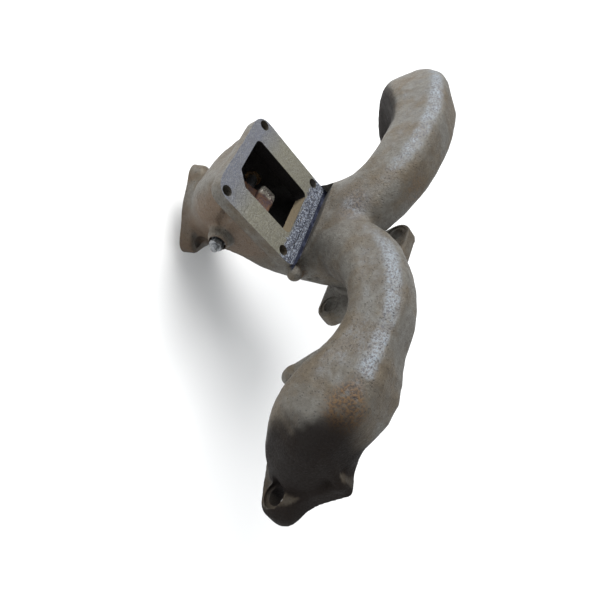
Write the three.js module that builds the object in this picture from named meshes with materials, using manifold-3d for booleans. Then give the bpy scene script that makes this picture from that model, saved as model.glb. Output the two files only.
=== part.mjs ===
// Cast-iron exhaust manifold of an inline four-cylinder engine, with a heat riser flange for the
// intake manifold and a heat-control flap inside the collector.
// Millimetres. Origin: centre of the middle port on the cylinder-head face. +X runs along the row of ports,
// +Y points away from the head, +Z points up towards the intake manifold.
import * as THREE from 'three';
import { mergeVertices } from 'three/addons/utils/BufferGeometryUtils.js';
import Module from 'manifold-3d';

const wasm = await Module();
wasm.setup();

// ------------------------------------------------------------------------------------------------
// Driving dimensions

const WALL = 6;                       // iron around the gas passages
const GAP = 0.3;                      // air between neighbouring solids
const FRONT_PORT_X = -171;            // port centres along the head
const REAR_PORT_X = 197;
const PORT_BORE = 23;                 // port radius at the head face
const PORT_FLANGE = 13;               // flange thickness
const PORT_LAND = 33;                 // flange radius around a port
const EAR_RADIUS = 12.5;
const EAR_HOLE = 6.5;
const SPOTFACE = 9.5;
const FRONT_EARS = [{ x: 33, z: -14 }, { x: -31, z: -12 }];     // bolt ears, from the port centre
const MIDDLE_EARS = [{ x: 36, z: 23 }, { x: -36, z: -23 }];
const REAR_EARS = [{ x: 36, z: -20 }, { x: -33, z: -14 }];

const RISER_CENTRE = new THREE.Vector3(0, 116, -23.5);
const RISER_TILT = THREE.MathUtils.degToRad(-5);
const RISER_SIZE = { x: 92, y: 80, thick: 12, corner: 11 };
const RISER_HOLES = { x: 80, y: 64, radius: 4.3 };
const RISER_OPENING = { x: 48, y: 62, corner: 5, chamfer: 11 };

const COLLECTOR = { halfX: 38, halfY: 37, floorZ: -78 };
const OUTLET_CENTRE = new THREE.Vector3(4, 116, -113);
const OUTLET_TILT = THREE.MathUtils.degToRad(27);
const OUTLET = { bore: 21, land: 27, thick: 12, earCircle: 31, earRadius: 10.5, hole: 5.3 };

const SHAFT_Y = 113;                  // axis of the flap shaft, parallel to X
const SHAFT_Z = -63;
const SHAFT_RADIUS = 4.5;
const RUNNING = 0.045;                // running clearance of the shaft in its bushes
const BEARING_SIDES = 32;
const THREAD_RADIUS = 3;
const BUSH_RADIUS = 7;
const BOSS_RADIUS = 10;
const BOSS_FACE_X = 43;               // outer face of the shaft bosses
const BUSH_INNER_X = 31;

const FLAP = { halfX: 25, halfY: 23, thick: 3, corner: 12, angle: THREE.MathUtils.degToRad(-14) };
const SADDLE = { halfX: 17, halfY: 8 };
const SADDLE_BLOCK = { x: [-1, 23], y: [-22, -7], top: 12.5 };  // the raised block on its head side
const SCREW = { x: 11.5, y: 13.2, radius: 2.5, head: 8 };       // saddle screws, about the flap's middle
const STOP_PIN = { y: -18, depth: 2.5, radius: 2.2 };

const SIDES = 16;

// ------------------------------------------------------------------------------------------------
// Helpers

const V = (x, y, z) => new THREE.Vector3(x, y, z);

/** A closed three.js geometry as a manifold-3d solid. */
function solid(geometry, matrix = new THREE.Matrix4()) {
  const positions = geometry.clone();
  positions.deleteAttribute('normal');
  positions.deleteAttribute('uv');
  const merged = mergeVertices(positions.applyMatrix4(matrix), 1e-3);
  return new wasm.Manifold(new wasm.Mesh({
    numProp: 3,
    vertProperties: new Float32Array(merged.attributes.position.array),
    triVerts: new Uint32Array(merged.index.array),
  }));
}

/** A manifold-3d solid back as a three.js geometry. */
function geometryOf(body) {
  const mesh = body.getMesh();
  const geometry = new THREE.BufferGeometry();
  geometry.setAttribute('position', new THREE.BufferAttribute(mesh.vertProperties, 3));
  geometry.setIndex(new THREE.BufferAttribute(mesh.triVerts, 1));
  geometry.computeVertexNormals();
  return geometry;
}

const union = (...bodies) => bodies.reduce((sum, body) => sum.add(body));

/** A box in some frame, as a solid. */
const boxIn = (frame, low, high) => {
  const size = high.clone().sub(low);
  const middle = low.clone().add(high).multiplyScalar(0.5);
  const place = frame.clone().multiply(new THREE.Matrix4().setPosition(middle));
  return solid(new THREE.BoxGeometry(size.x, size.y, size.z), place);
};
const box = (low, high) => boxIn(new THREE.Matrix4(), low, high);

/** A cylinder between two points. */
function rod(from, to, radius, sides = SIDES, endRadius = radius) {
  const axis = to.clone().sub(from);
  const turn = new THREE.Quaternion().setFromUnitVectors(V(0, 1, 0), axis.clone().normalize());
  const middle = from.clone().add(to).multiplyScalar(0.5);
  const place = new THREE.Matrix4().compose(middle, turn, V(1, 1, 1));
  return solid(new THREE.CylinderGeometry(endRadius, radius, axis.length(), sides), place);
}

const circle = (radius, x = 0, y = 0) => new THREE.Shape().absarc(x, y, radius, 0, Math.PI * 2);

/** A rectangle about the origin with round corners. */
function roundedRectangle(width, height, radius) {
  const x = width / 2 - radius;
  const y = height / 2 - radius;
  const shape = new THREE.Shape();
  shape.absarc(x, y, radius, 0, Math.PI / 2);
  shape.absarc(-x, y, radius, Math.PI / 2, Math.PI);
  shape.absarc(-x, -y, radius, Math.PI, Math.PI * 1.5);
  shape.absarc(x, -y, radius, Math.PI * 1.5, Math.PI * 2);
  return shape;
}

/** The outline that wraps a big circle at the origin and the small ones around it, as a belt would. */
function eared(bigRadius, earRadius, ears) {
  const shape = new THREE.Shape();
  const turns = ears
    .map((ear) => ({ ...ear, heading: Math.atan2(ear.y, ear.x), distance: Math.hypot(ear.x, ear.y) }))
    .sort((one, other) => one.heading - other.heading);
  turns.forEach(({ x, y, heading, distance }, i) => {
    const lean = Math.acos((bigRadius - earRadius) / distance);
    const next = turns[(i + 1) % turns.length];
    const nextLean = Math.acos((bigRadius - earRadius) / next.distance);
    const nextHeading = next.heading + (i + 1 === turns.length ? Math.PI * 2 : 0);
    shape.absarc(x, y, earRadius, heading - lean, heading + lean);
    shape.absarc(0, 0, bigRadius, heading + lean, nextHeading - nextLean);
  });
  return shape;
}

/** A flat outline extruded by depth along +Z, then placed. */
function plate(shape, depth, place = new THREE.Matrix4(), curveSegments = 3) {
  return solid(new THREE.ExtrudeGeometry(shape, { depth, bevelEnabled: false, curveSegments }), place);
}

/**
 * A tube whose section grows and shrinks. A unit section is swept along the curve through the
 * stations, and each ring is then scaled about its own point of the curve by that station's size.
 */
function taperedTube(stations, options = {}) {
  const { steps = 14, section = circle(1), curveSegments = SIDES / 2, shrink = 0 } = options;
  const path = new THREE.CatmullRomCurve3(stations.map((station) => station.at));
  const sizes = new THREE.CatmullRomCurve3(stations.map((station) => station.size));
  const tube = new THREE.ExtrudeGeometry(section, {
    steps, curveSegments, bevelEnabled: false, extrudePath: path,
  });
  const rings = path.getSpacedPoints(steps);
  const ringSizes = rings.map((_, i) => sizes.getPoint(path.getUtoTmapping(i / steps)).subScalar(shrink));
  const positions = tube.attributes.position;
  const vertex = new THREE.Vector3();
  for (let i = 0; i < positions.count; i += 1) {
    vertex.fromBufferAttribute(positions, i);
    const distances = rings.map((ring) => ring.distanceTo(vertex));
    const nearest = distances.indexOf(Math.min(...distances));
    vertex.sub(rings[nearest]).multiply(ringSizes[nearest]).add(rings[nearest]);
    positions.setXYZ(i, vertex.x, vertex.y, vertex.z);
  }
  return solid(tube);
}

const station = (x, y, z, sx, sy = sx, sz = sx) => ({ at: V(x, y, z), size: V(sx, sy, sz) });

// ------------------------------------------------------------------------------------------------
// Runners: from a port, out and up in an arch, and down into the collector

const frontRunner = [
  station(FRONT_PORT_X, 1, 0, 30, 30, 31),
  station(FRONT_PORT_X + 2, 20, 9, 32),
  station(FRONT_PORT_X + 12, 37, 28, 32),
  station(-139, 43, 46, 29),
  station(-113, 45, 57, 24),
  station(-88, 49, 59, 23.5),
  station(-55, 52, 48, 26),
  station(-24, 54, 20, 27, 25, 26),
  station(-2, 58, -18, 28, 22, 26),
  station(0, 74, -52, 30, 26, 26),
];
const rearRunner = [
  station(REAR_PORT_X, 1, 0, 30, 30, 31),
  station(REAR_PORT_X + 4, 20, 4, 34),
  station(REAR_PORT_X - 6, 39, 22, 34),
  station(162, 50, 41, 32),
  station(108, 54, 51, 26.5),
  station(60, 54, 42, 26),
  station(26, 54, 18, 27, 25, 26),
  station(2, 58, -18, 28, 22, 26),
  station(0, 74, -52, 30, 26, 26),
];
const middleRunner = [
  station(0, 1, 0, 28, 28, 26),
  station(0, 28, -2, 30, 28, 26),
  station(0, 52, -26, 36, 28, 28),
  station(0, 76, -50, 36, 29, 24),
  station(0, 95, -57, 34, 28, 21),
];

/** The gas passage inside a runner. */
const passage = ([{ at }, ...rest]) => (
  taperedTube([station(at.x, 4, at.z, PORT_BORE + WALL), ...rest], { shrink: WALL })
);

// ------------------------------------------------------------------------------------------------
// Collector and outlet

const collectorStations = [
  station(0, 116, -28, 43, 39, 1),
  station(0, 114, -46, 40, 37, 1),
  station(0, 112, -64, COLLECTOR.halfX, COLLECTOR.halfY, 1),
  station(1, 111, COLLECTOR.floorZ, 34, 34, 1),
  station(3, 112, -97, 27.5, 28, 28),
  station(4, 115.5, -113, 26, 26, 26),
];
const collectorShape = { steps: 10, section: roundedRectangle(2, 2, 0.6), curveSegments: 2 };

const headPlate = (x) => new THREE.Matrix4().makeRotationX(Math.PI / 2).setPosition(x, PORT_FLANGE, 0);

const portFlange = (x, ears) => plate(
  eared(PORT_LAND, EAR_RADIUS, ears.map((ear) => ({ x: ear.x, y: ear.z }))), PORT_FLANGE, headPlate(x),
);

const earCentres = [
  { x: FRONT_PORT_X, ears: FRONT_EARS },
  { x: 0, ears: MIDDLE_EARS },
  { x: REAR_PORT_X, ears: REAR_EARS },
].flatMap(({ x, ears }) => ears.map((ear) => ({ x: x + ear.x, z: ear.z })));

const earHole = ({ x, z }) => union(
  rod(V(x, -2, z), V(x, PORT_FLANGE + 30, z), EAR_HOLE, 12),
  rod(V(x, PORT_FLANGE - 1, z), V(x, PORT_FLANGE + 16, z), SPOTFACE, 12),
);

const riserFrame = new THREE.Matrix4().makeRotationX(RISER_TILT).setPosition(RISER_CENTRE);
const onRiser = (depth) => riserFrame.clone().multiply(new THREE.Matrix4().makeTranslation(0, 0, depth));
const riserPoint = (x, y, depth) => V(x, y, depth).applyMatrix4(riserFrame);

const riserPlate = plate(
  roundedRectangle(RISER_SIZE.x, RISER_SIZE.y, RISER_SIZE.corner), RISER_SIZE.thick, onRiser(-RISER_SIZE.thick),
);

/** The opening is a rectangle with one corner cut off, on the outer front side. */
function riserOpening() {
  const { x, y, corner, chamfer } = RISER_OPENING;
  const shape = new THREE.Shape();
  shape.absarc(x / 2 - corner, y / 2 - corner, corner, 0, Math.PI / 2);
  shape.lineTo(-x / 2 + chamfer, y / 2);
  shape.lineTo(-x / 2, y / 2 - chamfer);
  shape.absarc(-x / 2 + corner, -y / 2 + corner, corner, Math.PI, Math.PI * 1.5);
  shape.absarc(x / 2 - corner, -y / 2 + corner, corner, Math.PI * 1.5, Math.PI * 2);
  return plate(shape, 36, onRiser(-32), 2);
}

const riserHoles = [-1, 1].flatMap((sx) => [-1, 1].map((sy) => rod(
  riserPoint(sx * RISER_HOLES.x / 2, sy * RISER_HOLES.y / 2, -10),
  riserPoint(sx * RISER_HOLES.x / 2, sy * RISER_HOLES.y / 2, 2),
  RISER_HOLES.radius, 12,
)));

const outletFrame = new THREE.Matrix4().makeRotationX(OUTLET_TILT).setPosition(OUTLET_CENTRE);
const outletPoint = (x, y, depth) => V(x, y, depth).applyMatrix4(outletFrame);
const outletEars = [70, 190, 310].map((degrees) => {
  const angle = THREE.MathUtils.degToRad(degrees);
  return { x: OUTLET.earCircle * Math.cos(angle), y: OUTLET.earCircle * Math.sin(angle) };
});
const outletFlange = plate(eared(OUTLET.land, OUTLET.earRadius, outletEars), OUTLET.thick, outletFrame);
const outletHoles = outletEars.map(({ x, y }) => rod(
  outletPoint(x, y, -2), outletPoint(x, y, OUTLET.thick + 20), OUTLET.hole, 12,
));

// ------------------------------------------------------------------------------------------------
// The casting: everything solid, less the passages and the holes

const lug = union(
  rod(V(-103, 41, 42), V(-104, 30, 20), 9, 10),
  rod(V(-104, 30, 20), V(-112, 22, -26), 9, 10, 7),
  rod(V(-112, 22, -26), V(-113, 21, -30), 7, 10, 6),
);
/** The shoulder that fills the corner between the rear runner and the collector. */
const shoulder = taperedTube([
  station(82, 52, 44, 19),
  station(56, 57, 20, 19),
  station(28, 72, -32, 20),
], { steps: 5, curveSegments: 4 });
const shaftBosses = union(
  rod(V(-BOSS_FACE_X, SHAFT_Y, SHAFT_Z), V(-30, SHAFT_Y, SHAFT_Z), BOSS_RADIUS, 16),
  rod(V(30, SHAFT_Y, SHAFT_Z), V(BOSS_FACE_X, SHAFT_Y, SHAFT_Z), BOSS_RADIUS, 16),
);
/** The milling cut that faces the riser flange; it leaves a step where the runners rise behind it. */
const FAR = 400;
const SIDE_X = RISER_SIZE.x / 2 + 0.5;
const BACK_Y = -RISER_SIZE.y / 2 - 0.5;
const riserFacing = boxIn(riserFrame, V(-SIDE_X, BACK_Y, 0), V(SIDE_X, FAR, FAR));
const iron = union(
  taperedTube(frontRunner),
  taperedTube(rearRunner),
  taperedTube(middleRunner, { steps: 8 }),
  taperedTube(collectorStations, collectorShape),
  portFlange(FRONT_PORT_X, FRONT_EARS),
  portFlange(0, MIDDLE_EARS),
  portFlange(REAR_PORT_X, REAR_EARS),
  riserPlate,
  outletFlange,
  shaftBosses,
  lug,
  shoulder,
);

const outletBore = rod(outletPoint(0, 0, -3), outletPoint(0, 0, 12), OUTLET.bore, SIDES);
const portBores = [FRONT_PORT_X, 0, REAR_PORT_X].map((x) => (
  rod(V(x, -2, 0), V(x, PORT_FLANGE + 4, 0), PORT_BORE, SIDES)
));
const bushBores = union(
  rod(V(-BOSS_FACE_X - 2, SHAFT_Y, SHAFT_Z), V(-24, SHAFT_Y, SHAFT_Z), BUSH_RADIUS + GAP, 16),
  rod(V(24, SHAFT_Y, SHAFT_Z), V(BOSS_FACE_X + 2, SHAFT_Y, SHAFT_Z), BUSH_RADIUS + GAP, 16),
);
const hollow = union(
  passage(frontRunner),
  passage(rearRunner),
  passage(middleRunner),
  taperedTube(collectorStations, { ...collectorShape, shrink: WALL }),
  riserOpening(),
  riserFacing,
  outletBore,
  bushBores,
  ...portBores,
  ...earCentres.map(earHole),
  ...riserHoles,
  ...outletHoles,
);
const headSide = box(V(-400, -60, -200), V(400, 0, 200));
const casting = iron.subtract(hollow).subtract(headSide);

// ------------------------------------------------------------------------------------------------
// The casting is one piece of iron. Plain cuts divide it into regions, so that each node is a simple solid.

const FLANGE_X = 62;                  // between the middle flange and the end flanges
const FRONT_CUTS = { bend: 34, elbow: -138, arm: -92 };         // a Y, then two Xs along the front runner
const REAR_CUTS = { bend: 34, elbow: 160, arm: 104 };
const JUNCTION_Z = 10;                // between the middle runner and the arms that drop in above it
const THROAT_Y = 46;
const NECK_Z = -81;                   // between the collector and the neck below it

const inRiser = (low, high) => boxIn(riserFrame, V(-SIDE_X, ...low), V(SIDE_X, ...high));
const outletSide = boxIn(outletFrame, V(-FAR, -FAR, -FAR), V(FAR, FAR, OUTLET.thick));
const neckSide = boxIn(outletFrame, V(-FAR, -FAR, OUTLET.thick + GAP), V(FAR, FAR, FAR));
const column = inRiser([BACK_Y, -FAR], [FAR, -RISER_SIZE.thick - GAP]);
const behind = inRiser([-FAR, -FAR], [BACK_Y - GAP, FAR]);
const offHead = PORT_FLANGE + GAP;
const overNeck = box(V(-FAR, 0, NECK_Z + GAP), V(FAR, FAR, FAR));
const underBox = box(V(-FAR, 0, -FAR), V(FAR, FAR, NECK_Z));
const regions = {
  front_port_flange: box(V(-FAR, -1, -FAR), V(-FLANGE_X, PORT_FLANGE, FAR)),
  middle_port_flange: box(V(-FLANGE_X, -1, -FAR), V(FLANGE_X, PORT_FLANGE, FAR)),
  rear_port_flange: box(V(FLANGE_X, -1, -FAR), V(FAR, PORT_FLANGE, FAR)),
  front_bend: box(V(-FAR, offHead, -FAR), V(FRONT_CUTS.elbow, FRONT_CUTS.bend, FAR)),
  front_elbow: box(V(-FAR, FRONT_CUTS.bend + GAP, -FAR), V(FRONT_CUTS.elbow, FAR, FAR)),
  front_arm: box(V(FRONT_CUTS.elbow + GAP, offHead, -FAR), V(FRONT_CUTS.arm, FAR, FAR)),
  front_arm_inner: box(V(FRONT_CUTS.arm + GAP, offHead, -FAR), V(-SIDE_X - GAP, FAR, FAR)),
  rear_arm_inner: box(V(SIDE_X + GAP, offHead, -FAR), V(REAR_CUTS.arm, FAR, FAR)),
  rear_arm: box(V(REAR_CUTS.arm + GAP, offHead, -FAR), V(REAR_CUTS.elbow, FAR, FAR)),
  rear_elbow: box(V(REAR_CUTS.elbow + GAP, REAR_CUTS.bend + GAP, -FAR), V(FAR, FAR, FAR)),
  rear_bend: box(V(REAR_CUTS.elbow + GAP, offHead, -FAR), V(FAR, REAR_CUTS.bend, FAR)),
  front_drop: behind.intersect(box(V(-FAR, offHead, JUNCTION_Z + GAP), V(-GAP / 2, FAR, FAR))),
  rear_drop: behind.intersect(box(V(GAP / 2, offHead, JUNCTION_Z + GAP), V(FAR, FAR, FAR))),
  middle_runner: behind.intersect(box(V(-FAR, offHead, -FAR), V(FAR, THROAT_Y, JUNCTION_Z))),
  throat: behind.intersect(box(V(-FAR, THROAT_Y + GAP, -FAR), V(FAR, FAR, JUNCTION_Z))),
  riser_flange: inRiser([BACK_Y, -RISER_SIZE.thick], [FAR, FAR]),
  collector_box: column.intersect(overNeck),
  outlet_neck: column.intersect(underBox).intersect(neckSide),
  outlet_flange: column.intersect(outletSide),
};

/** The largest piece of a solid: a cut may leave a crumb beside the region it is meant to make. */
function largest(body) {
  const pieces = body.decompose();
  return pieces.reduce((most, piece) => (piece.volume() > most.volume() ? piece : most));
}

// ------------------------------------------------------------------------------------------------
// The flap and what carries it

const shaftAt = (x, y = 0, z = 0) => V(x, SHAFT_Y + y, SHAFT_Z + z);
const ring = (x0, x1, outer, hole, sides = 16) => (
  rod(shaftAt(x0), shaftAt(x1), outer, sides).subtract(rod(shaftAt(x0 - 1), shaftAt(x1 + 1), hole, sides))
);
const flapFrame = new THREE.Matrix4().makeRotationX(FLAP.angle).setPosition(0, SHAFT_Y, SHAFT_Z);
const flapPoint = (x, y, z) => V(x, y, z).applyMatrix4(flapFrame);
const plateBottom = -SHAFT_RADIUS - GAP - FLAP.thick;
const inFlap = (low, high) => boxIn(flapFrame, low, high);

const shaftChannel = rod(shaftAt(-60), shaftAt(60), SHAFT_RADIUS + GAP, 16);
const screwHoles = union(...[-1, 1].map((side) => rod(
  flapPoint(side * SCREW.x, SCREW.y, plateBottom - 1),
  flapPoint(side * SCREW.x, SCREW.y, 20), SCREW.radius + GAP, 12,
)));
const flapPlate = plate(
  roundedRectangle(2 * FLAP.halfX, 2 * FLAP.halfY, FLAP.corner), FLAP.thick,
  flapFrame.clone().multiply(new THREE.Matrix4().makeTranslation(0, 0, plateBottom)),
).subtract(screwHoles);

const [blockLow, blockHigh] = [0, 1].map((end) => [SADDLE_BLOCK.x[end], SADDLE_BLOCK.y[end]]);
const saddle = union(
  inFlap(V(-SADDLE.halfX, -SADDLE.halfY, -SHAFT_RADIUS), V(SADDLE.halfX, SADDLE.halfY, SHAFT_RADIUS + 2)),
  inFlap(V(-SADDLE.halfX, SADDLE.halfY - 1, -SHAFT_RADIUS), V(SADDLE.halfX, SADDLE.halfY + 10, 0)),
  inFlap(V(...blockLow, -SHAFT_RADIUS), V(...blockHigh, SADDLE_BLOCK.top)),
).subtract(shaftChannel).subtract(screwHoles);

const hexagon = (acrossFlats) => {
  const shape = new THREE.Shape();
  const corners = Array.from({ length: 6 }, (_, i) => (i * Math.PI) / 3);
  const reach = acrossFlats / Math.sqrt(3);
  corners.forEach((angle, i) => {
    const [x, y] = [reach * Math.cos(angle), reach * Math.sin(angle)];
    if (i === 0) shape.moveTo(x, y);
    else shape.lineTo(x, y);
  });
  return shape;
};
const flapTurn = (x, y, z) => flapFrame.clone().multiply(new THREE.Matrix4().makeTranslation(x, y, z));

/** A screw whose head lies on the saddle, with its shank down through the plate. */
const screwRod = (side, low, high, radius) => rod(
  flapPoint(side * SCREW.x, SCREW.y, low), flapPoint(side * SCREW.x, SCREW.y, high), radius, 12,
);
const saddleScrew = (side) => union(
  plate(hexagon(SCREW.head), 3.5, flapTurn(side * SCREW.x, SCREW.y, GAP)),
  screwRod(side, plateBottom - 6, 1, SCREW.radius),
);
const saddleNut = (side) => plate(
  hexagon(SCREW.head), 4, flapTurn(side * SCREW.x, SCREW.y, plateBottom - GAP - 4),
).subtract(screwRod(side, plateBottom - 8, 0, SCREW.radius + 0.05));

const plainWasher = ring(-BOSS_FACE_X - 2, -BOSS_FACE_X - 0.6, 6.2, THREAD_RADIUS + 0.2);
const springWasher = ring(-BOSS_FACE_X - 3.9, -BOSS_FACE_X - 2.3, 5, THREAD_RADIUS + 0.2);
const nutTurn = new THREE.Matrix4().makeRotationY(-Math.PI / 2)
  .setPosition(-BOSS_FACE_X - 4.2, SHAFT_Y, SHAFT_Z);
const shaftNut = plate(hexagon(10), 5, nutTurn)
  .subtract(rod(shaftAt(-BOSS_FACE_X - 10), shaftAt(-BOSS_FACE_X), THREAD_RADIUS + 0.05, 16));
const shaft = union(
  rod(shaftAt(-BOSS_FACE_X - 0.2), shaftAt(BOSS_FACE_X - 4), SHAFT_RADIUS, BEARING_SIDES),
  rod(shaftAt(-BOSS_FACE_X - 13), shaftAt(-BOSS_FACE_X), THREAD_RADIUS, 16),
);
const endPlug = rod(shaftAt(BOSS_FACE_X - 2.6), shaftAt(BOSS_FACE_X - 0.2), BUSH_RADIUS, 16);
const frontBush = ring(-BOSS_FACE_X, -BUSH_INNER_X, BUSH_RADIUS, SHAFT_RADIUS + RUNNING, BEARING_SIDES);
const rearBush = ring(BUSH_INNER_X, BOSS_FACE_X - 3, BUSH_RADIUS, SHAFT_RADIUS + RUNNING, BEARING_SIDES);

/** The pin in the collector wall that the flap's underside comes to rest on. */
const pinPoint = (x) => V(x, ...flapPoint(0, STOP_PIN.y, plateBottom - STOP_PIN.depth).toArray().slice(1));
const stopPin = rod(pinPoint(20), pinPoint(34), STOP_PIN.radius, 12);
const stopPinHole = rod(pinPoint(19), pinPoint(34.5), STOP_PIN.radius + GAP, 12);

// ------------------------------------------------------------------------------------------------
// The scene graph

function material(color, roughness, metalness) {
  return new THREE.MeshStandardMaterial({ color, roughness, metalness });
}
const castIron = material(0x5b544b, 0.8, 0.5);
const machined = material(0x77746a, 0.55, 0.7);
const steel = material(0x9a9a98, 0.4, 0.9);
const rusty = material(0x6b4a34, 0.9, 0.3);
const bronze = material(0x8a6a3c, 0.5, 0.8);

const group = new THREE.Group();
const add = (name, body, look) => {
  const mesh = new THREE.Mesh(geometryOf(body), look);
  mesh.name = name;
  group.add(mesh);
};

const faced = ['front_port_flange', 'middle_port_flange', 'rear_port_flange', 'riser_flange', 'outlet_flange'];
const drilled = casting.subtract(stopPinHole);
for (const [name, region] of Object.entries(regions)) {
  add(name, largest(drilled.intersect(region)), faced.includes(name) ? machined : castIron);
}
add('flap_plate', flapPlate, rusty);
add('flap_saddle', saddle, rusty);
add('saddle_screw_front', saddleScrew(-1), rusty);
add('saddle_screw_rear', saddleScrew(1), rusty);
add('saddle_nut_front', saddleNut(-1), rusty);
add('saddle_nut_rear', saddleNut(1), rusty);
add('flap_shaft', shaft, steel);
add('front_bush', frontBush, bronze);
add('rear_bush', rearBush, bronze);
add('shaft_end_plug', endPlug, steel);
add('plain_washer', plainWasher, steel);
add('spring_washer', springWasher, steel);
add('shaft_nut', shaftNut, steel);
add('stop_pin', stopPin, steel);

export default group;
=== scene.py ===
"""Looks for the exhaust manifold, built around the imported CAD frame.

The casting is modelled as a distance field in millimetres, in the part's own axes. Its swept runners, the
collector, the flanges, bosses and lugs are blended into one skin and hollowed. The skin is meshed with
surface nets. Then the machined faces and holes are cut into it with booleans, so that their edges stay crisp.
The flap's shaft, saddle, fasteners and washers are built after it. The other CAD nodes get a finish only.
"""

import math

import bmesh
import bpy
import numpy as np
from mathutils import Matrix, Vector


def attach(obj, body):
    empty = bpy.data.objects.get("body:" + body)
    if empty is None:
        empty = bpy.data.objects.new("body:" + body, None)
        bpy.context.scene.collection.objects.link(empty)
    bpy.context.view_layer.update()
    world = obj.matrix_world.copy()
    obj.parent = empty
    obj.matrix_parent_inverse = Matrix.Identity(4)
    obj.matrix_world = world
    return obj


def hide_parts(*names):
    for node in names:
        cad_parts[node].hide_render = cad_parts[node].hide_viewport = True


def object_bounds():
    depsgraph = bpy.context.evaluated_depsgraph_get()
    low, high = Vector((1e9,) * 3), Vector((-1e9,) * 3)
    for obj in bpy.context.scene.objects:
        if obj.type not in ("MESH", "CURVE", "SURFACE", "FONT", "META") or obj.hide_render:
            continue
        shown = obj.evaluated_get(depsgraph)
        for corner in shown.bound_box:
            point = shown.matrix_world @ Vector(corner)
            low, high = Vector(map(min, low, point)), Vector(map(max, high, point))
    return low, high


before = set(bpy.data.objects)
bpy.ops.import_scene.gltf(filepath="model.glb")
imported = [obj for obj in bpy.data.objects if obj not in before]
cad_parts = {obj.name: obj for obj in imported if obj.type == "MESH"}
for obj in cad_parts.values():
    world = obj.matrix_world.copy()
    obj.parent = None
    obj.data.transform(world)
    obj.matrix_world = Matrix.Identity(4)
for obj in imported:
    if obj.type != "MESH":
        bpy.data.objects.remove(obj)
cad_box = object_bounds()

MM = 0.001
SEED = 7
VOXEL = 1.5

# ------------------------------------------------------------
# Driving dimensions, in millimetres, as in the CAD

WALL = 6.0
FRONT_X = -171.0
REAR_X = 197.0
PORT_BORE = 23.0
PORT_LAND = 33.0
PORT_THICK = 13.0
EAR_RADIUS = 12.5
EAR_HOLE = 6.5
SPOTFACE = 9.5
FRONT_EARS = [(33, -14), (-31, -12)]
MIDDLE_EARS = [(36, 23), (-36, -23)]
REAR_EARS = [(36, -20), (-33, -14)]

RISER_CENTRE = np.array([0.0, 116.0, -23.5])
RISER_TILT = math.radians(-5)
RISER_HALF = (46.0, 40.0)
RISER_THICK = 12.0
RISER_CORNER = 11.0
RISER_HOLE_AT = (40.0, 32.0)
RISER_HOLE = 4.3
RISER_OPENING = (24.0, 31.0, 5.0, 11.0)      # half sizes, corner radius, cut corner
RISER_APRON = 9.0            # how far the worn land runs on past the plate, towards the runners
FACING_X = 46.6              # half width of the cut that faces the riser
FACING_Y = 49.6              # its reach towards the head, at the face
FACING_LEAN = 0.55           # how the cut's head side leans away from the runners as it rises
THROAT_WALL = 5.0            # iron left between the facing cut and the passages
SEAM_Y = 57.5                # the mould's parting plane over the front runner
SEAM_HEIGHT = 0.45
SEAM_WIDTH = 1.1
SEAM_X = -95                 # the seam's middle along the row
SEAM_HALF_LENGTH = 36
SEAM_FROM_Z = 30

OUTLET_CENTRE = np.array([4.0, 116.0, -113.0])
OUTLET_TILT = math.radians(27)
OUTLET_BORE = 21.0
OUTLET_LAND = 27.0
OUTLET_THICK = 12.0
OUTLET_EARS = [(31 * math.cos(math.radians(a)), 31 * math.sin(math.radians(a))) for a in (70, 190, 310)]
OUTLET_EAR_RADIUS = 10.5
OUTLET_HOLE = 5.3

STEP_WIDTH = 3.4             # the step along the riser's head-side edge
STEP_DEPTH = 0.8
PITS = 220
PIT_BATCHES = 4
FAR = 120                    # beyond every face that a cut has to reach

SHAFT = np.array([0.0, 113.0, -63.0])
BOSS_FACE_X = 43.0
BUSH_RADIUS = 7.0
SHAFT_RADIUS = 4.5
THREAD_RADIUS = 3.0
THREAD_PITCH = 1.0
THREAD_DEPTH = 0.36
SHAFT_TIP = BOSS_FACE_X + 13
WASHER_RADIUS = 6.2
WASHER_EDGE = 0.25
WASHER_LOW, WASHER_HIGH = BOSS_FACE_X + 0.6, BOSS_FACE_X + 2
SPRING_LEVEL = BOSS_FACE_X + 3.1
NUT_LOW, NUT_HIGH = BOSS_FACE_X + 4.2, BOSS_FACE_X + 9.2
NUT_ACROSS = 10

FLAP_ANGLE = math.radians(-14)
SADDLE_BASE = -4.5           # the saddle's flat underside, from the shaft's axis
SCREW_X, SCREW_Y = 11.5, 13.2
SCREW_RADIUS = 2.5
SCREW_ACROSS = 8

CAST_NODES = (
    "front_port_flange", "middle_port_flange", "rear_port_flange", "front_bend", "front_elbow", "front_arm",
    "front_arm_inner", "rear_arm_inner", "rear_arm", "rear_elbow", "rear_bend", "front_drop", "rear_drop",
    "middle_runner", "throat", "riser_flange", "collector_box", "outlet_neck", "outlet_flange",
)


# ------------------------------------------------------------
# Distance fields

class Grid:
    """A block of voxels. Each shape is worked out only near its own box."""

    def __init__(self, low, high, pitch):
        self.low = np.array(low, np.float32)
        self.pitch = pitch
        self.count = np.ceil((np.array(high) - low) / pitch).astype(int) + 1
        self.axes = [(self.low[i] + pitch * np.arange(self.count[i])).astype(np.float32) for i in range(3)]

    def full(self, value):
        return np.full(self.count, value, np.float32)

    def window(self, low, high, margin):
        spans = []
        for i in range(3):
            first = int(np.floor((low[i] - margin - self.low[i]) / self.pitch))
            last = int(np.ceil((high[i] + margin - self.low[i]) / self.pitch)) + 1
            spans.append(slice(max(first, 0), max(min(last, self.count[i]), 0)))
        x, y, z = (self.axes[i][spans[i]] for i in range(3))
        return tuple(spans), (x[:, None, None], y[None, :, None], z[None, None, :])


def smooth_min(a, b, k):
    h = np.clip(0.5 + 0.5 * (b - a) / k, 0, 1)
    return b + (a - b) * h - k * h * (1 - h)


def rotation_x(angle):
    c, s = math.cos(angle), math.sin(angle)
    return np.array([[1, 0, 0], [0, c, -s], [0, s, c]])


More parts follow.
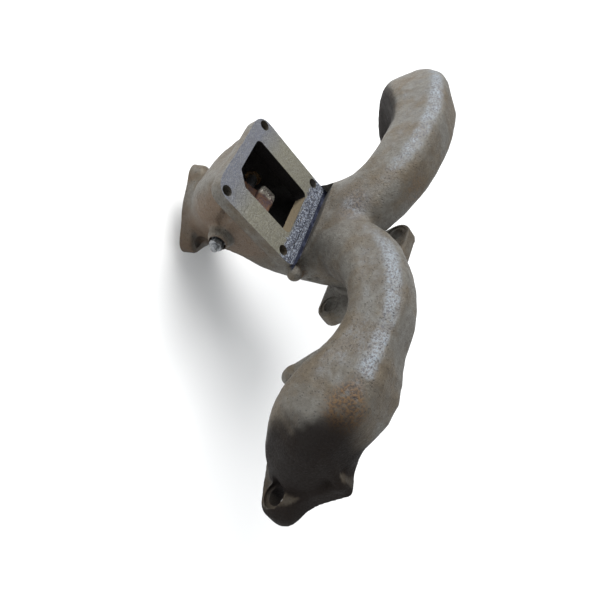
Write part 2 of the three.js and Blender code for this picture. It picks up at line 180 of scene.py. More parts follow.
def to_local(points, centre, turn):
    """Row-frame coordinate arrays in the axes of a turned frame; turn's columns are its axes."""
    offset = [points[i] - centre[i] for i in range(3)]
    return [sum(float(turn[i][j]) * offset[i] for i in range(3)) for j in range(3)]


def capped(flat, height, half, edge):
    """A flat distance extruded to plus and minus half, with its edges rounded."""
    side = flat + edge
    end = np.abs(height) - (half - edge)
    return np.minimum(np.maximum(side, end), 0) + np.hypot(np.maximum(side, 0), np.maximum(end, 0)) - edge


def rounded_rectangle(u, v, half_u, half_v, corner):
    qu = np.abs(u) - half_u + corner
    qv = np.abs(v) - half_v + corner
    return np.minimum(np.maximum(qu, qv), 0) + np.hypot(np.maximum(qu, 0), np.maximum(qv, 0)) - corner


def belt(u, v, big, small, ear):
    """A belt round a big circle at the origin and a small one at the ear."""
    distance = math.hypot(*ear)
    along = (u * ear[0] + v * ear[1]) / distance
    across = np.abs(u * ear[1] - v * ear[0]) / distance
    b = (big - small) / distance
    a = math.sqrt(1 - b * b)
    k = along * a - across * b
    inside = across * a + along * b - big
    near = np.hypot(across, along) - big
    far = np.hypot(across, along - distance) - small
    return np.where(k < 0, near, np.where(k > a * distance, far, inside))


def eared(u, v, big, small, ears):
    flat = belt(u, v, big, small, ears[0])
    for ear in ears[1:]:
        flat = np.minimum(flat, belt(u, v, big, small, ear))
    return flat


def capsule(points, a, b, ra, rb):
    axis = np.subtract(b, a)
    length = float(axis @ axis)
    t = sum((points[i] - a[i]) * axis[i] for i in range(3)) / length
    t = np.clip(t, 0, 1)
    gap = sum((points[i] - a[i] - t * axis[i]) ** 2 for i in range(3))
    return np.sqrt(gap) - (ra + (rb - ra) * t)


def smooth_path(stations, count):
    """Catmull-Rom through the stations' columns, evenly spread over their knots."""
    rows = np.array(stations, float)
    knots = np.linspace(0, len(rows) - 1, count)
    padded = np.vstack([2 * rows[0] - rows[1], rows, 2 * rows[-1] - rows[-2]])
    i = np.minimum(knots.astype(int), len(rows) - 2)
    t = (knots - i)[:, None]
    p0, p1, p2, p3 = (padded[i + k] for k in range(4))
    return 0.5 * (2 * p1 + (p2 - p0) * t + (2 * p0 - 5 * p1 + 4 * p2 - p3) * t ** 2
                  + (3 * p1 - p0 - 3 * p2 + p3) * t ** 3)


class Sweep:
    """A tube with a rounded-rectangle section.

    Each station is x, y, z, half width across, half width up, and roundness from 0 to 1.
    """

    def __init__(self, stations, across_at_end, count=30):
        rows = smooth_path(stations, count)
        self.centre = rows[:, :3]
        self.half = rows[:, 3:5]
        self.round = np.clip(rows[:, 5], 0, 1)
        tangent = np.gradient(self.centre, axis=0)
        self.tangent = tangent / np.linalg.norm(tangent, axis=1)[:, None]
        across = np.zeros_like(self.centre)
        side = np.array(across_at_end, float)
        for i in range(count - 1, -1, -1):      # carried back along the curve without twist
            side = side - (side @ self.tangent[i]) * self.tangent[i]
            side /= np.linalg.norm(side)
            across[i] = side
        self.across = across
        self.up = np.cross(self.tangent, across)

    def box(self):
        reach = self.half.max(axis=1)[:, None] * 1.2
        return (self.centre - reach).min(0), (self.centre + reach).max(0)

    def distance(self, points, shrink=0.0):
        shape = np.broadcast_shapes(*(p.shape for p in points))
        best = np.full(shape, 1e9, np.float32)
        where = np.zeros(shape, np.float32)
        for i in range(len(self.centre) - 1):
            start = self.centre[i].astype(np.float32)
            axis = (self.centre[i + 1] - self.centre[i]).astype(np.float32)
            length = float(axis @ axis)
            ox, oy, oz = (points[k] - start[k] for k in range(3))
            t = np.clip((ox * axis[0] + oy * axis[1] + oz * axis[2]) / length, 0, 1)
            gap = (ox - t * axis[0]) ** 2 + (oy - t * axis[1]) ** 2 + (oz - t * axis[2]) ** 2
            closer = gap < best
            best = np.where(closer, gap, best)
            where = np.where(closer, i + t, where)
        low = np.minimum(where.astype(np.int32), len(self.centre) - 2)
        blend = where - low

        def at(values):
            table = values.astype(np.float32)
            return table[low] * (1 - blend) + table[low + 1] * blend

        centre = [at(self.centre[:, k]) for k in range(3)]
        offset = [points[k] - centre[k] for k in range(3)]
        u = sum(offset[k] * at(self.across[:, k]) for k in range(3))
        v = sum(offset[k] * at(self.up[:, k]) for k in range(3))
        along = sum(offset[k] * at(self.tangent[:, k]) for k in range(3))
        half_u = at(self.half[:, 0]) - shrink
        half_v = at(self.half[:, 1]) - shrink
        corner = at(self.round) * np.minimum(half_u, half_v)
        flat = rounded_rectangle(u, v, half_u, half_v, corner)
        beyond = np.where((where <= 0) | (where >= len(self.centre) - 1), np.abs(along), 0)
        return np.where(beyond > 0, np.hypot(np.maximum(flat, 0), beyond), flat)


# ------------------------------------------------------------
# The casting's shape

ROUND = 0.62                 # how round the runners' square sections are
SKIN_NOISE = ((0.35, 21, 0), (0.22, 8.5, 1), (0.12, 4.0, 2))     # depth and size of the sand-cast unevenness

FRONT = Sweep([
    (FRONT_X, -6, -2, 29, 27, 1.0),
    (FRONT_X + 1, 8, 2, 30, 28, 0.95),
    (FRONT_X + 4, 22, 12, 30, 29, 0.85),
    (FRONT_X + 12, 37, 27, 29, 29, 0.72),
    (-140, 42.5, 46, 27, 27.5, 0.56),
    (-114, 46, 54.5, 21, 20.8, 0.58),
    (-88, 49, 58.5, 20.5, 20.5, ROUND),
    (-55, 52, 49, 22.5, 23, 0.7),
    (-26, 53, 24, 22.5, 24, 0.85),
    (-4, 56, -14, 20, 25, 1.0),
    (0, 72, -50, 22, 26, 1.0),
], (0, 1, 0))
REAR = Sweep([
    (REAR_X, -6, -2, 29, 27, 1.0),
    (REAR_X + 2, 8, 0, 31, 28, 0.95),
    (REAR_X + 4, 20, 6, 32, 29, 0.85),
    (REAR_X - 3, 38, 22, 33, 30, 0.7),
    (164, 50, 41, 28.5, 28.5, 0.54),
    (134, 53, 49, 25, 25.5, ROUND),
    (104, 54, 51, 23.5, 24, ROUND),
    (62, 55, 42, 23.5, 24, 0.7),
    (28, 54, 20, 22.5, 24, 0.85),
    (4, 56, -14, 20, 25, 1.0),
    (0, 72, -50, 22, 26, 1.0),
], (0, 1, 0))
MIDDLE = Sweep([
    (0, -6, 0, 28, 26, 1.0),
    (0, 10, 0, 28, 26, 1.0),
    (0, 28, -2, 29, 26, 1.0),
    (0, 52, -26, 34, 26, 1.0),
    (0, 76, -50, 35, 24, 0.9),
    (0, 95, -57, 34, 21, 0.8),
], (1, 0, 0), 16)
COLLECTOR = Sweep([
    (0, 116, -24, 43, 39, 0.35),
    (0, 115, -40, 40.5, 38, 0.5),
    (0, 112.5, -62, 38, 37, 0.62),
    (1, 111, -78, 34, 34, 0.8),
    (3, 112, -97, 27.5, 28, 1.0),
    (4, 115.5, -113, 26, 26, 1.0),
], (1, 0, 0), 18)
SHOULDER = Sweep([
    (84, 50, 44, 19, 19, 1.0),
    (56, 51, 20, 18, 18, 1.0),
    (28, 64, -32, 18, 18, 1.0),
], (0, 1, 0), 8)


# Bosses, lugs and webs: two ends, the radius at each, and how softly they join the casting
RODS = [
    ((-30, 113, -63), (-BOSS_FACE_X + 2, 113, -63), 11.5, 10, 4),
    ((30, 113, -63), (BOSS_FACE_X - 2, 113, -63), 11.5, 10, 4),
    ((-103, 44, 42), (-104, 32, 16), 8.5, 9, 5),            # the lug that hangs under the front arm
    ((-104, 32, 16), (-112, 22, -26), 9, 7.0, 5),
    ((-112, 22, -26), (-113, 21, -30), 7, 6.5, 3),
    ((39, 70, -14), (42, 76, -9), 5, 3.5, 2),               # the small tab by the riser's rear corner
    ((-43, 61, -25), (-37, 54, -30), 6, 4.5, 6),            # the web under the riser's front corner
    ((-184, 40, 36), (-191, 10, 33), 3.5, 2.6, 5),          # the web down to the front flange's corner
    ((-203, 5, -9), (-204, 4, -8), 12.5, 12.5, 5),          # the front ear's heavy outer end
]
RECESS = ((-42, 130, -38), (-42.5, 124, -54), 6.5, 5.5)     # the hollow above the shaft's nut
FRONT_FLANGE_CORNER = (-19, 33)
RISER_BOX = (-47, 64, -42), (47, 158, -14)
RUN_OUT = 2                  # how far a flange is carried past its face, for the facing cut to remove


def port_flange(x, ears):
    def distance(points):
        u, v = points[0] - x, points[2] + 0 * points[0]
        flat = eared(u, v, PORT_LAND, EAR_RADIUS, ears)
        if x == FRONT_X:
            flat = np.minimum(flat, belt(u, v, PORT_LAND, 4.0, FRONT_FLANGE_CORNER))
        return capped(flat, points[1] - (PORT_THICK / 2 - RUN_OUT), PORT_THICK / 2 + RUN_OUT, 2.0)
    return distance


def riser_plate(points):
    u, v, w = to_local(points, RISER_CENTRE, rotation_x(RISER_TILT))
    half_v = RISER_HALF[1] + RISER_APRON / 2
    flat = rounded_rectangle(u, v + RISER_APRON / 2, RISER_HALF[0], half_v, RISER_CORNER)
    return capped(flat, w + RISER_THICK / 2 - RUN_OUT, RISER_THICK / 2 + RUN_OUT, 2.2)


def outlet_plate(points):
    u, v, w = to_local(points, OUTLET_CENTRE, rotation_x(OUTLET_TILT))
    flat = eared(u, v, OUTLET_LAND, OUTLET_EAR_RADIUS, OUTLET_EARS)
    return capped(flat, w - OUTLET_THICK / 2 + RUN_OUT, OUTLET_THICK / 2 + RUN_OUT, 3.0)


def outer_shape(grid):
    """The casting as one solid lump, before its passages."""
    solid = grid.full(40.0)

    def join(low, high, distance, blend):
        spans, points = grid.window(low, high, 14)
        solid[spans] = smooth_min(solid[spans], distance(points).astype(np.float32), blend)

    for sweep, blend in ((MIDDLE, 1), (FRONT, 9), (REAR, 9), (SHOULDER, 12), (COLLECTOR, 8)):
        low, high = sweep.box()
        join(low, high, sweep.distance, blend)
    for x, ears in ((FRONT_X, FRONT_EARS), (0, MIDDLE_EARS), (REAR_X, REAR_EARS)):
        join((x - 52, -4, -40), (x + 52, 14, 40), port_flange(x, ears), 4)
    join(*RISER_BOX, riser_plate, 4)
    join((-40, 76, -134), (42, 156, -78), outlet_plate, 7)
    for a, b, ra, rb, blend in RODS:
        reach = max(ra, rb)
        join(np.minimum(a, b) - reach, np.maximum(a, b) + reach, lambda p: capsule(p, a, b, ra, rb), blend)
    return solid


def casting_field():
    """The grid, the hollowed casting's field and its passages' field."""
    grid = Grid((-222, -3, -140), (250, 166, 96), VOXEL)
    solid = outer_shape(grid)
    x, y, z = (grid.axes[i].reshape([-1 if k == i else 1 for k in range(3)]) for i in range(3))
    u, v, w = to_local([x, y, z], RISER_CENTRE, rotation_x(RISER_TILT))
    lean = (FACING_LEAN * w - FACING_Y - v) / math.hypot(1, FACING_LEAN)
    over_riser = np.maximum(np.maximum(-w, lean), np.abs(u) - FACING_X)
    hollow = grid.full(40.0)
    for sweep in (FRONT, REAR, MIDDLE, COLLECTOR):
        low, high = sweep.box()
        spans, points = grid.window(low, high, 6)
        inside = sweep.distance(points, WALL).astype(np.float32)
        hollow[spans] = smooth_min(hollow[spans], inside, 4)
    spans, points = grid.window((-52, 116, -62), (-34, 137, -32), 4)
    recess = capsule(points, *RECESS).astype(np.float32)
    solid[spans] = -smooth_min(-solid[spans], recess, 1.2)
    seam = np.exp(-((y - SEAM_Y) / SEAM_WIDTH) ** 2) * (z > SEAM_FROM_Z)
    solid -= SEAM_HEIGHT * seam * (np.abs(x - SEAM_X) < SEAM_HALF_LENGTH)
    hollow = np.maximum(hollow, np.maximum(solid, -over_riser) + THROAT_WALL)
    carved = -smooth_min(-solid, hollow, 2.5)
    spans, points = grid.window(*RISER_BOX, 6)
    carved[spans] = np.minimum(carved[spans], riser_plate(points).astype(np.float32))
    return grid, carved, hollow


# ------------------------------------------------------------
# Meshing

def value_noise(grid, size, seed):
    """Smooth noise on the grid, about -1 to 1, with bumps of the given size."""
    draw = np.random.default_rng(seed)
    cells = [int(c * grid.pitch / size) + 3 for c in grid.count]
    table = draw.uniform(-1, 1, cells).astype(np.float32)
    for axis in range(3):
        at = np.arange(grid.count[axis]) * grid.pitch / size
        low = at.astype(int)
        t = (at - low).astype(np.float32)
        t = t * t * (3 - 2 * t)
        shape = [1, 1, 1]
        shape[axis] = -1
        t = t.reshape(shape)
        table = np.take(table, low, axis) * (1 - t) + np.take(table, low + 1, axis) * t
    return table


def surface_net(grid, field):
    """Vertices and quads of the field's zero surface: one vertex in each cell that it crosses."""
    inside = field < 0
    cells = tuple(c - 1 for c in grid.count)
    total = np.zeros(cells + (3,), np.float32)
    hits = np.zeros(cells, np.int32)
    corner = [(i, j, k) for i in (0, 1) for j in (0, 1) for k in (0, 1)]

    def part(array, c):
        return array[c[0]:c[0] + cells[0], c[1]:c[1] + cells[1], c[2]:c[2] + cells[2]]

    for a in corner:
        for axis in range(3):
            if a[axis]:
                continue
            b = tuple(v + (1 if i == axis else 0) for i, v in enumerate(a))
            crosses = part(inside, a) != part(inside, b)
            idx = np.nonzero(crosses)
            fa = part(field, a)[idx]
            fb = part(field, b)[idx]
            t = fa / (fa - fb)
            for i in range(3):
                total[idx[0], idx[1], idx[2], i] += a[i] + (t if i == axis else 0)
            hits[idx] += 1
    used = np.nonzero(hits)
    number = np.full(cells, -1, np.int64)
    number[used] = np.arange(len(used[0]))
    local = total[used] / hits[used][:, None]
    points = (np.stack(used, 1) + local) * grid.pitch + grid.low
    quads = []
    for axis in range(3):
        u, v = (axis + 1) % 3, (axis + 2) % 3
        a = [slice(None)] * 3
        b = [slice(None)] * 3
        a[axis] = slice(0, -1)
        b[axis] = slice(1, None)
        change = inside[tuple(a)] != inside[tuple(b)]
        idx = np.stack(np.nonzero(change), 1)
        keep = (idx[:, u] > 0) & (idx[:, v] > 0) & (idx[:, u] < cells[u]) & (idx[:, v] < cells[v])
        idx = idx[keep]
        ring = []
        for du, dv in ((0, 0), (1, 0), (1, 1), (0, 1)):
            cell = idx.copy()
            cell[:, u] -= du
            cell[:, v] -= dv
            ring.append(number[cell[:, 0], cell[:, 1], cell[:, 2]])
        ring = np.stack(ring, 1)
        outward = inside[tuple(idx.T)]
        ring[~outward] = ring[~outward][:, ::-1]
        quads.append(ring)
    return points, np.concatenate(quads)


def sample(grid, field, points):
    """The field at the points, by trilinear interpolation."""
    at = np.clip((points - grid.low) / grid.pitch, 0, np.array(grid.count) - 1.001)
    low = at.astype(int)
    t = at - low
    out = 0
    for i in (0, 1):
        for j in (0, 1):
            for k in (0, 1):
                weight = (t[:, 0] if i else 1 - t[:, 0]) * (t[:, 1] if j else 1 - t[:, 1]) * (
                    t[:, 2] if k else 1 - t[:, 2])
                out = out + weight * field[low[:, 0] + i, low[:, 1] + j, low[:, 2] + k]
    return out


def settle(grid, field, points, steps=2):
    """Moves points onto the zero surface along the field's slope."""
    reach = grid.pitch * 0.5
    for _ in range(steps):
        value = sample(grid, field, points)
        slope = np.stack([
            sample(grid, field, points + reach * axis) - sample(grid, field, points - reach * axis)
            for axis in np.eye(3)], 1) / (2 * reach)
        size = np.maximum((slope ** 2).sum(1), 0.05)
        points = points - np.clip(value / size, -reach, reach)[:, None] * slope
    return points


def mesh_object(name, points, faces):
    mesh = bpy.data.meshes.new(name)
    faces = faces.tolist() if isinstance(faces, np.ndarray) else faces
    mesh.from_pydata((np.asarray(points) * MM).tolist(), [], faces)
    mesh.update()
    obj = bpy.data.objects.new(name, mesh)
    bpy.context.scene.collection.objects.link(obj)
    return obj


def prism(outline, frame_matrix, low, high):
    """A cutter: a flat outline in a frame's XY plane, from low to high along its Z."""
    bm = bmesh.new()
    bottom = [bm.verts.new((x, y, low)) for x, y in outline]
    top = [bm.verts.new((x, y, high)) for x, y in outline]
    bm.faces.new(list(reversed(bottom)))
    bm.faces.new(top)
    count = len(outline)
    for i in range(count):
        j = (i + 1) % count
        bm.faces.new((bottom[i], bottom[j], top[j], top[i]))
    bmesh.ops.transform(bm, matrix=frame_matrix, verts=bm.verts)
    return bm


def circle(radius, x=0.0, y=0.0, sides=40):
    return [(x + radius * math.cos(2 * math.pi * i / sides), y + radius * math.sin(2 * math.pi * i / sides))
            for i in range(sides)]


def rectangle(x0, y0, x1, y1):
    return [(x0, y0), (x1, y0), (x1, y1), (x0, y1)]


def arc(cx, cy, radius, a0, a1, steps=6):
    return [(cx + radius * math.cos(math.radians(a0 + (a1 - a0) * i / steps)),
             cy + radius * math.sin(math.radians(a0 + (a1 - a0) * i / steps))) for i in range(steps + 1)]


def opening_outline():
    hx, hy, corner, cut = RISER_OPENING
    return (arc(hx - corner, hy - corner, corner, 0, 90)
            + arc(-hx + cut, hy - 2, 2, 90, 135, 3) + arc(-hx + 2, hy - cut, 2, 135, 180, 3)
            + arc(-hx + corner, -hy + corner, corner, 180, 270)
            + arc(hx - corner, -hy + corner, corner, 270, 360))


def frame_at(centre, angle_x):
    return Matrix.Translation(Vector(centre)) @ Matrix.Rotation(angle_x, 4, "X")


def along_x(centre):
    """A frame whose Z runs along the row's X."""
    return Matrix.Translation(Vector(centre)) @ Matrix.Rotation(math.radians(90), 4, "Y")


def cut(obj, cutters):
    bm = bmesh.new()
    for cutter in cutters:
        mesh = bpy.data.meshes.new("cutter")
        cutter.to_mesh(mesh)
        cutter.free()
        bm.from_mesh(mesh)
        bpy.data.meshes.remove(mesh)
    mesh = bpy.data.meshes.new("cutter")
    bmesh.ops.scale(bm, vec=(MM, MM, MM), verts=bm.verts)
    bm.to_mesh(mesh)
    bm.free()
    tool = bpy.data.objects.new("cutter", mesh)
    bpy.context.scene.collection.objects.link(tool)
    modifier = obj.modifiers.new("cut", "BOOLEAN")
    modifier.operation = "DIFFERENCE"
    modifier.object = tool
    modifier.solver = "MANIFOLD"
    bpy.context.view_layer.objects.active = obj
    bpy.ops.object.modifier_apply(modifier=modifier.name)
    bpy.data.objects.remove(tool)
    bpy.data.meshes.remove(mesh)


def smooth_but_sharp(obj, degrees=38):
    for polygon in obj.data.polygons:
        polygon.use_smooth = True
    obj.data.set_sharp_from_angle(angle=math.radians(degrees))


def build_casting():
    grid, field, hollow = casting_field()
    for depth, size, seed in SKIN_NOISE:
        field = field + depth * value_noise(grid, size, SEED + seed)
    edge = 2
    for axis in range(3):
        for side in (slice(0, edge), slice(-edge, None)):
            spans = [slice(None)] * 3
            spans[axis] = side
            field[tuple(spans)] = np.maximum(field[tuple(spans)], 1.0)
    points, quads = surface_net(grid, field)
    points = settle(grid, field, points)
    casting = mesh_object("casting_skin", points, quads)
    riser = frame_at(RISER_CENTRE, RISER_TILT)
    outlet = frame_at(OUTLET_CENTRE, OUTLET_TILT)
    head = Matrix.Rotation(math.radians(90), 4, "X")        # its Z is the row's -Y, its Y the row's Z
    cut(casting, [prism(rectangle(-400, -300, 400, 300), head, 0, 60)])
    side_on = riser @ Matrix(((0, 0, 1, 0), (1, 0, 0, 0), (0, 1, 0, 0), (0, 0, 0, 1)))
    facing = [(-FACING_Y, 0), (FAR, 0), (FAR, FAR), (FAR * FACING_LEAN - FACING_Y, FAR)]
    cut(casting, [prism(facing, side_on, -FACING_X, FACING_X)])
    cut(casting, [prism(rectangle(-60, -60, 60, 60), outlet, -30, 0)])
    holes = [prism(opening_outline(), riser, -34, 8), prism(circle(OUTLET_BORE, sides=56), outlet, -4, 14)]
    for sx in (-1, 1):
        for sy in (-1, 1):
            at = (sx * RISER_HOLE_AT[0], sy * RISER_HOLE_AT[1])
            holes.append(prism(circle(RISER_HOLE, *at, sides=24), riser, -10, 6))
    for x, y in OUTLET_EARS:
        holes.append(prism(circle(OUTLET_HOLE, x, y, sides=24), outlet, -4, OUTLET_THICK + 14))
    for x in (FRONT_X, 0, REAR_X):
        holes.append(prism(circle(PORT_BORE, x, 0, sides=56), head, -PORT_THICK - 4, 6))
    for side in (-1, 1):
        a, b = sorted((side * (BOSS_FACE_X + 8), side * 24))
        holes.append(prism(circle(BUSH_RADIUS + 0.15, sides=32), along_x((0, SHAFT[1], SHAFT[2])), a, b))
    for hole in holes:
        cut(casting, [hole])
    for x, ears in ((FRONT_X, FRONT_EARS), (0, MIDDLE_EARS), (REAR_X, REAR_EARS)):
        for ex, ez in ears:
            hole = circle(EAR_HOLE, x + ex, ez, sides=28)
            spotface = circle(SPOTFACE, x + ex, ez, sides=36)
            cut(casting, [prism(hole, head, -44, 6)])
            cut(casting, [prism(spotface, head, -PORT_THICK - 16, -PORT_THICK + 1)])
    for corrosion in pits(riser):
        cut(casting, [corrosion])
    return casting, grid, hollow


def pits(riser):
    """Corrosion along the riser's head-side land, and the step rubbed into its edge."""
    draw = np.random.default_rng(SEED + 5)
    edge = -RISER_HALF[1] - RISER_APRON
    yield prism(rectangle(-FACING_X, edge - 0.4, FACING_X, edge + STEP_WIDTH), riser, -STEP_DEPTH, 2)
    count = PITS
    for _ in range(PIT_BATCHES):
        bm = bmesh.new()
        for _ in range(count // PIT_BATCHES):
            along = draw.uniform(-RISER_HALF[0] + 2, RISER_HALF[0] - 2)
            reach = 13 + (9 if along < -28 else 0) * draw.uniform(0, 1)
            across = edge + STEP_WIDTH + draw.uniform(0.3, reach)
            radius = draw.uniform(0.5, 1.2)
            place = riser @ Matrix.Translation((along, across, radius * draw.uniform(0.45, 0.8)))
            bmesh.ops.create_icosphere(bm, subdivisions=1, radius=radius, matrix=place)
        yield bm


def flatten_faces(obj, normal, point):
    """Flat shading on the faces that lie in one plane, so that the pits in it don't smear its shading."""
    normal = Vector(normal)
    height = normal.dot(Vector(point)) * MM
    for polygon in obj.data.polygons:
        if polygon.normal.dot(normal) > 0.999 and abs(polygon.center.dot(normal) - height) < 0.1 * MM:
            polygon.use_smooth = False


casting, grid, hollow = build_casting()
smooth_but_sharp(casting)
flatten_faces(casting, (0, -math.sin(RISER_TILT), math.cos(RISER_TILT)), RISER_CENTRE)
flatten_faces(casting, (0, math.sin(OUTLET_TILT), -math.cos(OUTLET_TILT)), OUTLET_CENTRE)
flatten_faces(casting, (0, -1, 0), (0, 0, 0))
for node in CAST_NODES:
    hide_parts(node)
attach(casting, "casting")


# ------------------------------------------------------------
# Masks that the casting's finish is painted with, one value per vertex

def soft_step(values, low, high):
    t = np.clip((values - low) / (high - low), 0, 1)
    return t * t * (3 - 2 * t)


def spot(points, centre, radii, edge=0.35):
    """1 inside an ellipsoid, falling to 0 at its edge."""
    reach = np.sqrt((((points - centre) / radii) ** 2).sum(1))
    return 1 - soft_step(reach, 1 - edge, 1 + edge)


def per_vertex(mesh, name):
    values = np.empty(len(mesh.vertices) * 3, np.float32)
    mesh.vertices.foreach_get(name, values)
    return values.reshape(-1, 3)


def paint(mesh, name, values):
    """Stores one value per vertex under a name that the finishes read."""
    layer = mesh.attributes.new(name, "FLOAT", "POINT")
    layer.data.foreach_set("value", values.astype(np.float32))


RUST_SPOTS = [                # strength, centre, radii, softness of the edge
    (1.0, (-166, 56, 57), (15, 13, 12), 0.35),
    (0.6, (-153, 60, 62), (10, 7, 7), 0.35),
    (0.5, (44, 48, 48), (14, 16, 18), 0.35),
    (0.4, (14, 70, 20), (22, 12, 14), 0.8),
    (1.0, (-40, 56, -28), (9, 9, 9), 0.35),
    (0.7, (-200, 13, -24), (9, 5, 5), 0.35),
]


def paint_casting():
    """Paints worn ridges with a painted highlight, painted shade with some soot outside and in the passages,
    rust and warm tone.
    """
    mesh = casting.data
    points = per_vertex(mesh, "co") / MM
    normals = per_vertex(mesh, "normal")
    x, y, z = points.T
    u, v, w = to_local([x, y, z], RISER_CENTRE, rotation_x(RISER_TILT))
    # Painted highlight over real wear: the ridges whose normals face the key light, and the bump where the
    # arms meet, are marked to be painted pale and pitted.
    ridge = soft_step(normals @ np.array([0.0, 0.78, 0.62]), 0.84, 1.0) * soft_step(z, 30, 44)
    cheek = spot(points, (8, 74, 24), (13, 9, 11), 0.6)
    paint(mesh, "ridge", np.clip(ridge + cheek, 0, 1))
    # The passages' walls are marked to be darkened near black: painted shade, with soot.
    inner = 1 - soft_step(sample(grid, hollow, points), 1.0, 3.0)
    paint(mesh, "lined", inner * (1 - soft_step(w, -13.5, -12.2)))
    # Painted shade, with some soot: faces turning downwards, the front end turned from the light, the crook,
    # the hook's inside, the front seat, the throat and the outlet neck are marked to be darkened.
    under = soft_step(normals @ np.array([0.25, -0.55, -0.8]), -0.1, 0.5)
    front = soft_step(-x, 160, 180) * soft_step(-normals[:, 0] - 0.4 * normals[:, 1], -0.25, 0.35)
    crook = soft_step(-normals[:, 2], 0.1, 0.5) * soft_step(x, 85, 115)
    pit_of_hook = soft_step(x, 120, 150) * (1 - soft_step(y, 26, 44)) * (1 - soft_step(z, 10, 30))
    seat = (1 - soft_step(y, 8, 26)) * (1 - soft_step(x, -140, -120))
    throat = spot(points, (-12, 66, -4), (44, 16, 22), 0.6)
    neck = soft_step(-z, 92, 106)
    soot_and_shade = (0.7 * under + front + 0.8 * pit_of_hook + 0.7 * seat + 0.3 * throat + 0.85 * crook
            + 0.3 * neck)
    paint(mesh, "soot_and_shade", np.clip(soot_and_shade, 0, 1))
    rust = sum(strength * spot(points, centre, radii, edge) for strength, centre, radii, edge in RUST_SPOTS)
    paint(mesh, "rust", np.clip(rust, 0, 1))
    side = soft_step(-normals[:, 0], 0.3, 0.95) * soft_step(-w, 8, 20) * soft_step(y, 70, 90)
    paint(mesh, "warm", side)


paint_casting()


# ------------------------------------------------------------
# Finishes

def linear(r, g, b):
    """A colour given as 0 to 255 screen values."""
    screen = [c / 255 for c in (r, g, b)]
    return tuple((c / 12.92) if c <= 0.04045 else ((c + 0.055) / 1.055) ** 2.4 for c in screen)


class Tree:
    """A material on a Principled shader, and short ways to grow its nodes."""

    def __init__(self, name, colour, metallic, roughness):
        self.material = bpy.data.materials.new(name)
        self.material.use_nodes = True
        self.nodes = self.material.node_tree.nodes
        self.links = self.material.node_tree.links
        self.shader = self.nodes["Principled BSDF"]
        self.shader.inputs["Base Color"].default_value = (*colour, 1)
        self.shader.inputs["Metallic"].default_value = metallic
        self.shader.inputs["Roughness"].default_value = roughness
        self.here = self.nodes.new("ShaderNodeTexCoord").outputs["Object"]

    def join(self, socket, value):
        if isinstance(value, bpy.types.NodeSocket):
            self.links.new(value, socket)
        elif isinstance(value, tuple) and len(socket.default_value) == 4:
            socket.default_value = (*value, 1)
        else:
            socket.default_value = value

    def math(self, operation, *values):
        node = self.nodes.new("ShaderNodeMath")
        node.operation = operation
        node.use_clamp = operation in ("ADD", "MULTIPLY")
        for socket, value in zip(node.inputs, values):
            self.join(socket, value)
        return node.outputs[0]

    def times(self, first, *others):
        """The product of masks or numbers."""
        for other in others:
            first = self.math("MULTIPLY", first, other)
        return first

    def noise(self, size, detail=3.0, roughness=0.55, distortion=0.0):
        """Noise from 0 to 1 with bumps of that many millimetres."""
        node = self.nodes.new("ShaderNodeTexNoise")
        self.links.new(self.here, node.inputs["Vector"])
        node.inputs["Scale"].default_value = 1 / (size * MM)
        node.inputs["Detail"].default_value = detail
        node.inputs["Roughness"].default_value = roughness
        node.inputs["Distortion"].default_value = distortion
        return node.outputs["Fac"]

    def cells(self, size):
        node = self.nodes.new("ShaderNodeTexVoronoi")
        self.links.new(self.here, node.inputs["Vector"])
        node.inputs["Scale"].default_value = 1 / (size * MM)
        return node.outputs["Distance"]

    def band(self, value, low, high, start=0.0, end=1.0):
        """Runs smoothly from start to end as the value goes from low to high."""
        node = self.nodes.new("ShaderNodeMapRange")
        node.interpolation_type = "SMOOTHSTEP"
        for socket, given in zip(node.inputs, (value, low, high, start, end)):
            self.join(socket, given)
        return node.outputs[0]

    def mix(self, factor, a, b):
        node = self.nodes.new("ShaderNodeMix")
        node.data_type = "RGBA"
        self.join(node.inputs["Factor"], factor)
        self.join(node.inputs[6], a)
        self.join(node.inputs[7], b)
        return node.outputs[2]

    def mask(self, name):
        node = self.nodes.new("ShaderNodeAttribute")
        node.attribute_name = name
        return node.outputs["Fac"]

    def along(self, direction, origin=(0, 0, 0)):
        """How far the point lies along a direction from the origin, in millimetres."""
        node = self.nodes.new("ShaderNodeVectorMath")
        node.operation = "DOT_PRODUCT"
        self.links.new(self.here, node.inputs[0])
        node.inputs[1].default_value = [d / MM for d in direction]
        return self.math("SUBTRACT", node.outputs["Value"], float(np.dot(direction, origin)))

    def finish(self, colour, roughness, metallic, height, depth):
        for socket, value in (("Base Color", colour), ("Roughness", roughness), ("Metallic", metallic)):
            self.join(self.shader.inputs[socket], value)
        bump = self.nodes.new("ShaderNodeBump")
        bump.inputs["Distance"].default_value = depth * MM
        self.links.new(height, bump.inputs["Height"])
        self.links.new(bump.outputs["Normal"], self.shader.inputs["Normal"])
        return self.material


